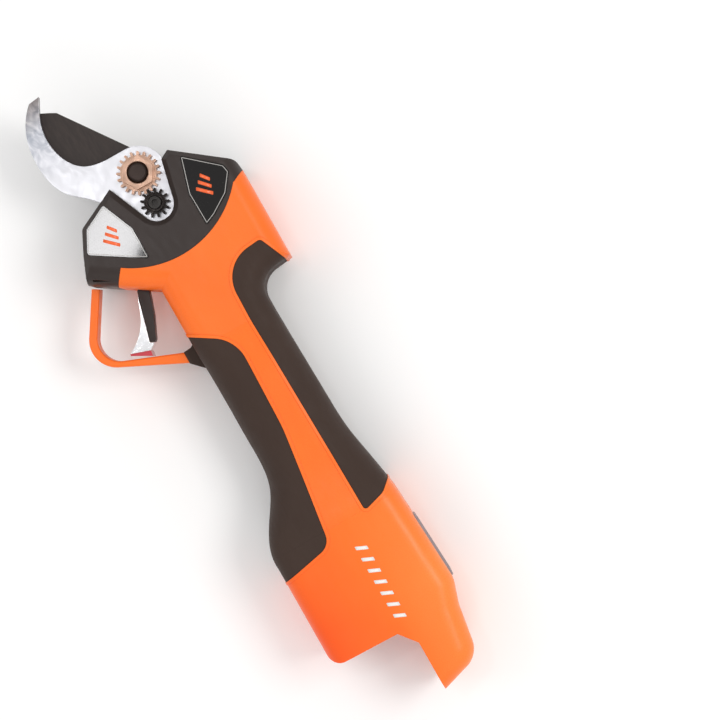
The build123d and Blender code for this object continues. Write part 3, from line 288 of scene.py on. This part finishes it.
def blade_steel():
    """Ground blade steel: near white by the pivot, mottled blue-grey and brown towards the tip."""
    s = Surface("ground_blade_steel", 0.3, 1.0)
    edge = s.round_edges(0.3 * MM)
    bright = (0.66, 0.66, 0.69, 1)
    lines = s.noise(0.22 * MM, 2, (1, 0.06, 1))
    patches = s.noise(5.5 * MM, 6, (1, 1, 1), 1.2)
    along = s.between(s.axis("X"), PIVOT.x + BRIGHT_END, BLADE_TIP_X - 4 * MM)
    tarnish = s.math("MULTIPLY", along, s.between(patches, 0.34, 0.62))
    tip = s.between(s.axis("X"), BLADE_TIP_X - TIP_LENGTH, BLADE_TIP_X)
    base = s.blend(tarnish, bright, (0.24, 0.27, 0.33, 1))
    base = s.blend(s.math("MULTIPLY", tip, 0.8), base, (0.21, 0.17, 0.15, 1))
    # painted highlight on the edges
    base = s.blend(s.math("MULTIPLY", edge, 0.5), base, (0.98, 0.98, 1, 1))
    s.bump(lines, 0.003 * MM)
    s.bump(patches, 0.002 * MM, 0.5)
    return s.done(base, s.between(patches, 0.3, 0.7, 0.30, 0.40))


def coated_steel():
    """Dark non-stick coating, silky, with a faint orange peel and lighter edges: partly bare metal,
    partly a painted highlight.
    """
    s = Surface("coated_blade_steel", 0.5, 0.0)
    edge = s.round_edges(0.18 * MM)
    peel = s.noise(0.9 * MM, 3)
    rub = s.noise(6 * MM, 5, (1, 4, 1), 0.5)
    dark = (0.026, 0.018, 0.016, 1)
    s.shader.inputs["Specular IOR Level"].default_value = 0.3
    base = s.blend(s.between(rub, 0.35, 0.75, 0, 1), dark, (0.040, 0.029, 0.025, 1))
    # lighter edges: partly bare metal, partly a painted highlight
    base = s.blend(s.math("MULTIPLY", edge, 0.5), base, (0.24, 0.22, 0.21, 1))
    s.bump(peel, 0.01 * MM)
    s.shader.inputs["Coat Weight"].default_value = 0.08
    s.shader.inputs["Coat Roughness"].default_value = 0.35
    return s.done(base, s.between(rub, 0.3, 0.7, 0.42, 0.55))


def polished(name, colour, rough, coat, wave=0.02, shine=0.5):
    """Glossy moulded insert with faint waviness, dust and hairline scratches."""
    s = Surface(name, rough)
    s.shader.inputs["Specular IOR Level"].default_value = shine
    edge = s.round_edges(0.25 * MM)
    hair = s.noise(0.16 * MM, 1, (1, 0.02, 1))
    dust = s.noise(0.5 * MM, 4)
    cloud = s.noise(14 * MM, 3)
    base = s.blend(cloud, shade(colour, 0.85), shade(colour, 1.15))
    base = s.blend(s.between(dust, 0.68, 0.8, 0, 0.12), base, (0.5, 0.48, 0.45, 1))
    # painted highlight on the edges
    base = s.blend(s.math("MULTIPLY", edge, 0.25), base, shade(colour, 2.2))
    s.bump(cloud, wave * MM)
    s.bump(hair, 0.0003 * MM)
    s.shader.inputs["Coat Weight"].default_value = coat
    s.shader.inputs["Coat Roughness"].default_value = 0.04
    return s.done(base, s.between(hair, 0.4, 0.8, rough, rough + 0.03))


def circuit_board():
    """Green solder mask with copper tracks that show through it."""
    s = Surface("solder_mask", 0.35)
    s.round_edges(0.1 * MM)
    tracks = s.add("ShaderNodeTexBrick")
    s.links.new(s.position, tracks.inputs["Vector"])
    tracks.inputs["Scale"].default_value = 1 / TRACK_PITCH
    tracks.inputs["Mortar Size"].default_value = 0.03
    base = s.blend(tracks.outputs["Fac"], (0.012, 0.10, 0.035, 1), (0.04, 0.20, 0.07, 1))
    base = s.blend(s.between(s.noise(1.2 * MM, 3), 0.5, 0.7, 0, 0.5), base, (0.01, 0.07, 0.03, 1))
    s.bump(tracks.outputs["Fac"], 0.03 * MM)
    return s.done(base, 0.35)


MATERIALS = {
    "orange_shell": moulded(
        "orange_moulding", (0.97, 0.150, 0.010, 1), 0.36, grain=0.5, depth=0.008, spread=0.05,
        parting=True, warm=(1.0, 0.200, 0.020, 1), shine=0.35,
        # painted shade colour for the battery housing's front side, then painted light colour for its
        # back side
        housing_shade_and_light=((0.94, 0.080, 0.004, 1), (1.0, 0.270, 0.050, 1)),
    ),
    "grip_rubber": moulded(
        "soft_rubber", (0.046, 0.027, 0.020, 1), 0.62, grain=0.35, depth=0.03, spread=0.14,
        parting=True, radius=0.3, shine=0.22,
    ),
    "dark_cover": moulded(
        "dark_moulding", (0.030, 0.020, 0.017, 1), 0.38, grain=0.4, depth=0.014, spread=0.10,
        parting=True, radius=0.5, shine=0.34,
    ),
    "badge_black": polished(
        "badge_gloss", (0.006, 0.005, 0.005, 1), 0.05, coat=0.22, wave=0.008, shine=0.25,
    ),
    "bright_blade": blade_steel(),
    "coated_blade": coated_steel(),
    "bronze": turned("machined_bronze", (0.56, 0.36, 0.265, 1), 0.34, PIVOT),
    "black_steel": metal(
        "black_oxide", (0.045, 0.042, 0.040, 1), 0.34, grain=0.3, depth=0.006, edge_light=2.6, stain=0.3,
    ),
    "gear_steel": metal("gear_steel", (0.50, 0.50, 0.52, 1), 0.30, brush=(1, 0.1, 1)),
    "bolt_steel": metal(
        "bolt_steel", (0.060, 0.045, 0.040, 1), 0.42, grain=0.4, depth=0.01, edge_light=2.0, stain=0.2,
    ),
    "cast_alloy": metal("cast_alloy", (0.60, 0.61, 0.62, 1), 0.42, grain=0.6, depth=0.02),
    "bearing_steel": metal("bearing_steel", (0.66, 0.66, 0.68, 1), 0.18),
    "motor_steel": metal("plated_can", (0.12, 0.12, 0.13, 1), 0.30, brush=(1, 0.05, 0.05)),
    "end_cap_plastic": moulded("end_cap_moulding", (0.03, 0.03, 0.03, 1), 0.5),
    "lamination_steel": metal(
        "laminations", (0.34, 0.35, 0.37, 1), 0.40, brush=(0.05, 1, 1), grain=0.35, depth=0.03,
    ),
    "copper_wire": metal(
        "enamelled_copper", (0.72, 0.28, 0.11, 1), 0.28, brush=(0.05, 1, 1), grain=0.5, depth=0.08,
    ),
    "trigger_face": metal(
        "polished_trigger_face", (0.90, 0.90, 0.92, 1), 0.10, brush=(1, 0.1, 1), grain=0.3,
        depth=0.001, edge_light=1.1, stain=0.05,
    ),
    "red_toe": polished("red_moulding", (0.50, 0.012, 0.030, 1), 0.2, coat=0.4),
    "circuit_board": circuit_board(),
    "component_black": moulded("component_moulding", (0.02, 0.02, 0.02, 1), 0.42),
    "smoked_window": polished("smoked_window", (0.085, 0.078, 0.072, 1), 0.09, coat=0.8, wave=0.01),
    "screen_glass": polished("screen_glass", (0.02, 0.024, 0.028, 1), 0.05, coat=0.9, wave=0.0),
    "button_black": polished("button_moulding", (0.03, 0.03, 0.03, 1), 0.25, coat=0.2),
    "contact_brass": metal("tinned_brass", (0.78, 0.60, 0.33, 1), 0.25),
    "lead_insulation": moulded("silicone_insulation", (0.22, 0.012, 0.010, 1), 0.5),
}

SLOT_OF = {part["node"]: part["material_slot"] for part in frame["record"]["subparts"]}
for name, node in NODES.items():
    node.data.materials.clear()
    node.data.materials.append(MATERIALS[SLOT_OF[name]])
NODES["lock_gear"].data.materials[0] = turned("black_gear_steel", (0.022, 0.019, 0.018, 1), 0.24, LOCK)


# ---------------------------------------------------------------- printed and inlaid details
def rounded_outline(corners, radii, steps=8):
    """Closed outline through the corners, each rounded with its radius; all in millimetres."""
    points = []
    for i, corner in enumerate(corners):
        here = Vector(corner)
        back = (Vector(corners[i - 1]) - here).normalized()
        ahead = (Vector(corners[(i + 1) % len(corners)]) - here).normalized()
        half = back.angle(ahead) / 2
        centre = here + (back + ahead).normalized() * radii[i] / math.sin(half)
        start = here + back * radii[i] / math.tan(half) - centre
        end = here + ahead * radii[i] / math.tan(half) - centre
        sweep = start.angle_signed(end)
        for k in range(steps + 1):
            turn = Matrix.Rotation(-sweep * k / steps, 2)
            points.append(centre + turn @ start)
    return points


def inset(points, amount):
    """The same closed outline moved inwards; it runs either way round."""
    area = sum(a.x * b.y - b.x * a.y for a, b in zip(points, points[1:] + points[:1]))
    side = amount if area > 0 else -amount
    moved = []
    for before, here, after in zip(points[-1:] + points[:-1], points, points[1:] + points[:1]):
        along = (after - before).normalized()
        moved.append(here + Vector((-along.y, along.x)) * side)
    return moved


FAR_OFF = 80.0


class Outside:
    """Finds the upper (side 1) or lower (side -1) face of a CAD node at a point."""

    def __init__(self, node, side):
        mesh = NODES[node].data
        points = [v.co for v in mesh.vertices]
        self.tree = BVHTree.FromPolygons(points, [p.vertices for p in mesh.polygons])
        self.side = side

    def on(self, point, lift):
        """Point on the face, raised by lift millimetres, or None beside the node."""
        start = place(point[0], point[1], FAR_OFF * self.side)
        hit = self.tree.ray_cast(start, Vector((0, 0, -self.side)))[0]
        if hit is None:
            return None
        return hit + Vector((0, 0, self.side * lift * MM))


def link(name, bm, material, node):
    """Turns a finished bmesh into a piece that rides where its CAD node rides."""
    mesh = bpy.data.meshes.new(name)
    bmesh.ops.recalc_face_normals(bm, faces=bm.faces)
    bm.to_mesh(mesh)
    bm.free()
    piece = bpy.data.objects.new(name, mesh)
    bpy.context.scene.collection.objects.link(piece)
    mesh.materials.append(material)
    for polygon in mesh.polygons:
        polygon.use_smooth = True
    bodies = frame["record"]["behaviour"]["bodies"]
    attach(piece, next(body for body, members in bodies.items() if node in members))
    return piece


def densify(points, step=0.8):
    """Extra points so that a line can follow a curved face."""
    dense = []
    for here, after in zip(points, points[1:] + points[:1]):
        count = max(1, int((after - here).length / step))
        dense.extend(here.lerp(after, k / count) for k in range(count))
    return dense


BORDER_GAP = 0.5
BORDER_WIDTH = 0.26
BORDER_LIFT = 0.05
PRINT_LIFT = 0.04


def border(name, node, side, outline, material):
    """Raised line just inside a badge's edge, laid on the badge's own surface."""
    surface = Outside(node, side)
    outer = densify(inset(outline, BORDER_GAP))
    inner = inset(outer, BORDER_WIDTH)
    rows = []
    for a, b in zip(outer, inner):
        low_a = surface.on(a, 0.0)
        low_b = surface.on(b, 0.0)
        if low_a is None or low_b is None:
            rows.append(None)
            continue
        lift = Vector((0, 0, BORDER_LIFT * MM * side))
        rows.append((low_a, low_a.lerp(low_b, 0.2) + lift, low_a.lerp(low_b, 0.8) + lift, low_b))
    bm = bmesh.new()
    made = [row and [bm.verts.new(p) for p in row] for row in rows]
    for first, second in zip(made, made[1:] + made[:1]):
        if first and second:
            for k in range(3):
                bm.faces.new((first[k], first[k + 1], second[k + 1], second[k]))
    return link(name, bm, material, node)


def inlay(name, node, side, outline, material):
    """Thin filled shape laid on a node's surface."""
    surface = Outside(node, side)
    rim = densify(outline, 0.6)
    bm = bmesh.new()
    top = [bm.verts.new(surface.on(p, PRINT_LIFT)) for p in rim]
    foot = [bm.verts.new(surface.on(p, 0.0)) for p in rim]
    centre = sum(rim, Vector((0, 0))) / len(rim)
    hub = bm.verts.new(surface.on(centre, PRINT_LIFT))
    for i, vertex in enumerate(top):
        j = (i + 1) % len(top)
        bm.faces.new((hub, vertex, top[j]))
        bm.faces.new((vertex, foot[i], foot[j], top[j]))
    return link(name, bm, material, node)


FRONT_BADGE = rounded_outline(
    [(-20.8, 36.6), (-11, 31.4), (-5.3, 20), (-20.2, 13.8), (-35.3, 13.6)],
    [1.5, 1.5, 0.8, 2, 0.8],
)
REAR_BADGE = rounded_outline(
    [
        (-34.9, -15), (-19.4, -14.7), (-2.9, -19.6), (-15.6, -34.2),
        (-19.3, -34.9), (-27, -29.2), (-32.6, -20.4),
    ],
    [0.6, 3, 0.8, 1.5, 1.5, 3, 3],
)


def slanted_bar(centre, length, width, slant, angle=0.0):
    """One slanted bar of a plain striped mark; the angle is in radians."""
    turn = Matrix.Rotation(angle, 2)
    half_l = length / 2
    half_w = width / 2
    corners = [
        (-half_w - slant, -half_l),
        (half_w - slant, -half_l),
        (half_w + slant, half_l),
        (-half_w + slant, half_l),
    ]
    return rounded_outline([Vector(centre) + turn @ Vector(c) for c in corners], [0.25] * 4, 4)


SIDES = ((1, "upper"), (-1, "lower"))
BADGES = (("front_badge", FRONT_BADGE, (-18.8, 23.2)), ("rear_badge", REAR_BADGE, (-19.0, -23.0)))
MARK_ANGLE = math.radians(-30)
MARK_BAR_LENGTHS = (7.5, 6.0, 4.5)
MARK_BAR_WIDTH = 1.5
MARK_BAR_SLANT = 0.9
MARK_BAR_PITCH = 3.0
line_silver = polished("badge_line", (0.46, 0.44, 0.42, 1), 0.3, 0.1)
mark_orange = polished("mark_orange", (0.92, 0.13, 0.022, 1), 0.25, 0.2)
for side, level in SIDES:
    for badge, outline, _ in BADGES:
        node = f"{level}_{badge}"
        border(f"{node}_line", node, side, outline, line_silver)
    for badge, _, centre in BADGES:
        node = f"{level}_{badge}"
        for k, length in enumerate(MARK_BAR_LENGTHS):
            step = Vector(((k - 1) * MARK_BAR_PITCH, 0))
            spot = Vector(centre) + Matrix.Rotation(MARK_ANGLE, 2) @ step
            bar = slanted_bar(spot, length, MARK_BAR_WIDTH, MARK_BAR_SLANT, MARK_ANGLE)
            inlay(f"{node}_bar_{k + 1}", node, side, bar, mark_orange)

# row of plain slanted bars along the battery housing
TAIL_BARS = 7
TAIL_BAR_LENGTH = 5.0
TAIL_BAR_WIDTH = 1.7
TAIL_BAR_SLANT = 1.1
TAIL_BAR_PITCH = 5.6
TAIL_MARK_X = -190.0
TAIL_MARK_Y = -4.5
mark_white = moulded("mark_white", (0.88, 0.86, 0.84, 1), 0.45, grain=0.3, depth=0.002, spread=0.03)
for side, level in SIDES:
    for k in range(TAIL_BARS):
        spot = (TAIL_MARK_X - k * TAIL_BAR_PITCH, TAIL_MARK_Y)
        bar = slanted_bar(spot, TAIL_BAR_LENGTH, TAIL_BAR_WIDTH, TAIL_BAR_SLANT)
        inlay(f"{level}_tail_bar_{k + 1}", f"{level}_housing", side, bar, mark_white)


# ---------------------------------------------------------------- display surround and gauge
def on_back(tree, x, z, lift):
    """Point on the tool's back face at x, z, raised by lift; all in millimetres."""
    start = place(x, -FAR_OFF, z)
    hit = tree.ray_cast(start, Vector((0, 1, 0)))[0]
    return hit - Vector((0, lift * MM, 0))


def back_point(point, y):
    """Point of an X and Z outline in millimetres, at row-frame y."""
    return Vector((place(point.x, 0).x, y, place(0, 0, point.y).z))


def tree_of(*names):
    """Search tree over several CAD nodes together."""
    points = []
    faces = []
    for name in names:
        mesh = NODES[name].data
        shift = len(points)
        points.extend(v.co for v in mesh.vertices)
        faces.extend([shift + i for i in p.vertices] for p in mesh.polygons)
    return BVHTree.FromPolygons(points, faces)


SURROUND_LOW = -221.2
SURROUND_HIGH = -189.6
SURROUND_HALF = 10.6
SURROUND_CORNER = 3.0
SURROUND_RIM = 2.2
SURROUND_HEIGHT = 0.8
SURROUND_CHAMFER = 0.35
SURROUND_SUNK = 0.3
WINDOW_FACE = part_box("display_window")[0][1]


def surround(name, material):
    """Raised frame round the display window; its foot follows the casing."""
    tree = tree_of("upper_housing", "lower_housing")
    corners = [
        (SURROUND_LOW, -SURROUND_HALF),
        (SURROUND_HIGH, -SURROUND_HALF),
        (SURROUND_HIGH, SURROUND_HALF),
        (SURROUND_LOW, SURROUND_HALF),
    ]
    outer = rounded_outline(corners, [SURROUND_CORNER] * 4, 6)
    shoulder = SURROUND_HEIGHT * 0.55
    profile = [
        (0.0, -SURROUND_SUNK),
        (0.0, shoulder),
        (SURROUND_CHAMFER, SURROUND_HEIGHT),
        (SURROUND_RIM - SURROUND_CHAMFER, SURROUND_HEIGHT),
        (SURROUND_RIM, shoulder),
    ]
    bm = bmesh.new()
    rings = []
    for amount, lift in profile:
        moved = inset(outer, amount)
        feet = [on_back(tree, p.x, p.y, lift) for p in outer]
        rings.append([bm.verts.new(back_point(p, f.y)) for p, f in zip(moved, feet)])
    last = [bm.verts.new((v.co.x, WINDOW_FACE + 0.1 * MM, v.co.z)) for v in rings[-1]]
    rings.append(last)
    for first, second in zip(rings, rings[1:]):
        for i in range(len(first)):
            j = (i + 1) % len(first)
            bm.faces.new((first[i], first[j], second[j], second[i]))
    return link(name, bm, material, "upper_housing")


GAUGE_BARS = 4
GAUGE_BAR_WIDTH = 1.7
GAUGE_BAR_PITCH = 2.9
GAUGE_START_X = -214.5
GAUGE_SHORTEST = 5.5
GAUGE_GROWTH = 1.2


def gauge_bar(name, x, length, material):
    """One bar of the charge gauge, printed on the window."""
    half = length / 2
    far = x + GAUGE_BAR_WIDTH
    outline = rounded_outline([(x, -half), (far, -half), (far, half), (x, half)], [0.4] * 4, 4)
    bm = bmesh.new()
    front = [bm.verts.new(back_point(p, WINDOW_FACE - 0.04 * MM)) for p in outline]
    back = [bm.verts.new((v.co.x, WINDOW_FACE + 0.02 * MM, v.co.z)) for v in front]
    bm.faces.new(front)
    for i in range(len(front)):
        j = (i + 1) % len(front)
        bm.faces.new((front[i], front[j], back[j], back[i]))
    return link(name, bm, material, "display_window")


bezel_grey = moulded(
    "bezel_moulding", (0.30, 0.255, 0.27, 1), 0.4, grain=0.4, depth=0.006, spread=0.06,
    radius=0.3, shine=0.4,
)
surround("display_surround", bezel_grey)
gauge_green = polished("gauge_print", (0.30, 0.46, 0.36, 1), 0.3, 0.2)
for k in range(GAUGE_BARS):
    length = GAUGE_SHORTEST + GAUGE_GROWTH * k
    gauge_bar(f"gauge_bar_{k + 1}", GAUGE_START_X + GAUGE_BAR_PITCH * k, length, gauge_green)


# ---------------------------------------------------------------- floor, light and camera
FLOOR_GAP = 0.05 * MM


def area_light(name, spot, target, width, depth, power, colour):
    """Soft rectangular lamp that points at the target."""
    data = bpy.data.lights.new(name, "AREA")
    data.shape = "RECTANGLE"
    data.size = width
    data.size_y = depth
    data.energy = power
    data.color = colour
    lamp = bpy.data.objects.new(name, data)
    bpy.context.scene.collection.objects.link(lamp)
    lamp.location = spot
    lamp.rotation_euler = (Vector(target) - Vector(spot)).to_track_quat("-Z", "Y").to_euler()


def floor():
    """Large pale floor just under the tool."""
    s = Surface("pale_floor", 0.85)
    tone = s.blend(s.noise(60 * MM, 2), (0.97, 0.97, 0.97, 1), (0.98, 0.98, 0.98, 1))
    bm = bmesh.new()
    bmesh.ops.create_grid(bm, x_segments=8, y_segments=8, size=4.0)
    mesh = bpy.data.meshes.new("floor")
    bm.to_mesh(mesh)
    bm.free()
    ground = bpy.data.objects.new("floor", mesh)
    bpy.context.scene.collection.objects.link(ground)
    ground.location = (OBJECT_MIDDLE.x, OBJECT_MIDDLE.y, CAD_BOX[0][2] - FLOOR_GAP)
    mesh.materials.append(s.done(tone, 0.85))


floor()
world = bpy.data.worlds.new("studio")
bpy.context.scene.world = world
world.use_nodes = True
background = world.node_tree.nodes["Background"]
background.inputs["Color"].default_value = (1, 1, 1, 1)
background.inputs["Strength"].default_value = 0.72

CAMERA_TURN = math.radians(-119.5)
FRAME_WIDTH = 316.8 * MM
VIEW_MIDDLE = place(-118.65, -44.05, 10)
BADGE = middle("upper_front_badge")
area_light("key", (-0.14, -0.62, 0.95), OBJECT_MIDDLE, 0.50, 0.40, 3.6, (1.0, 0.985, 0.96))
area_light("fill", (0.45, 0.62, 0.80), OBJECT_MIDDLE, 0.60, 0.50, 1.5, (1.0, 0.99, 0.98))
area_light("low", (-0.75, 0.25, 0.60), OBJECT_MIDDLE, 0.60, 0.40, 1.0, (1.0, 0.97, 0.94))

# small panel that a flat glossy face at the front badge mirrors towards the camera
PANEL_HEIGHT = 0.88
across = 2 * BADGE - VIEW_MIDDLE
panel_spot = Vector((across.x, across.y, VIEW_MIDDLE.z + PANEL_HEIGHT))
area_light("panel", panel_spot, BADGE, 0.066, 0.052, 0.30, (1.0, 0.99, 1.0))

camera_data = bpy.data.cameras.new("camera")
camera_data.lens = 100.0
camera_data.sensor_width = 36.0
camera_data.clip_start = 0.01
camera_data.clip_end = 20.0
camera = bpy.data.objects.new("camera", camera_data)
bpy.context.scene.collection.objects.link(camera)
camera_height = FRAME_WIDTH * camera_data.lens / camera_data.sensor_width
camera.location = VIEW_MIDDLE + Vector((0, 0, camera_height))
camera.rotation_euler = (0, 0, CAMERA_TURN)
bpy.context.scene.camera = camera
bpy.context.scene.view_settings.view_transform = "Standard"
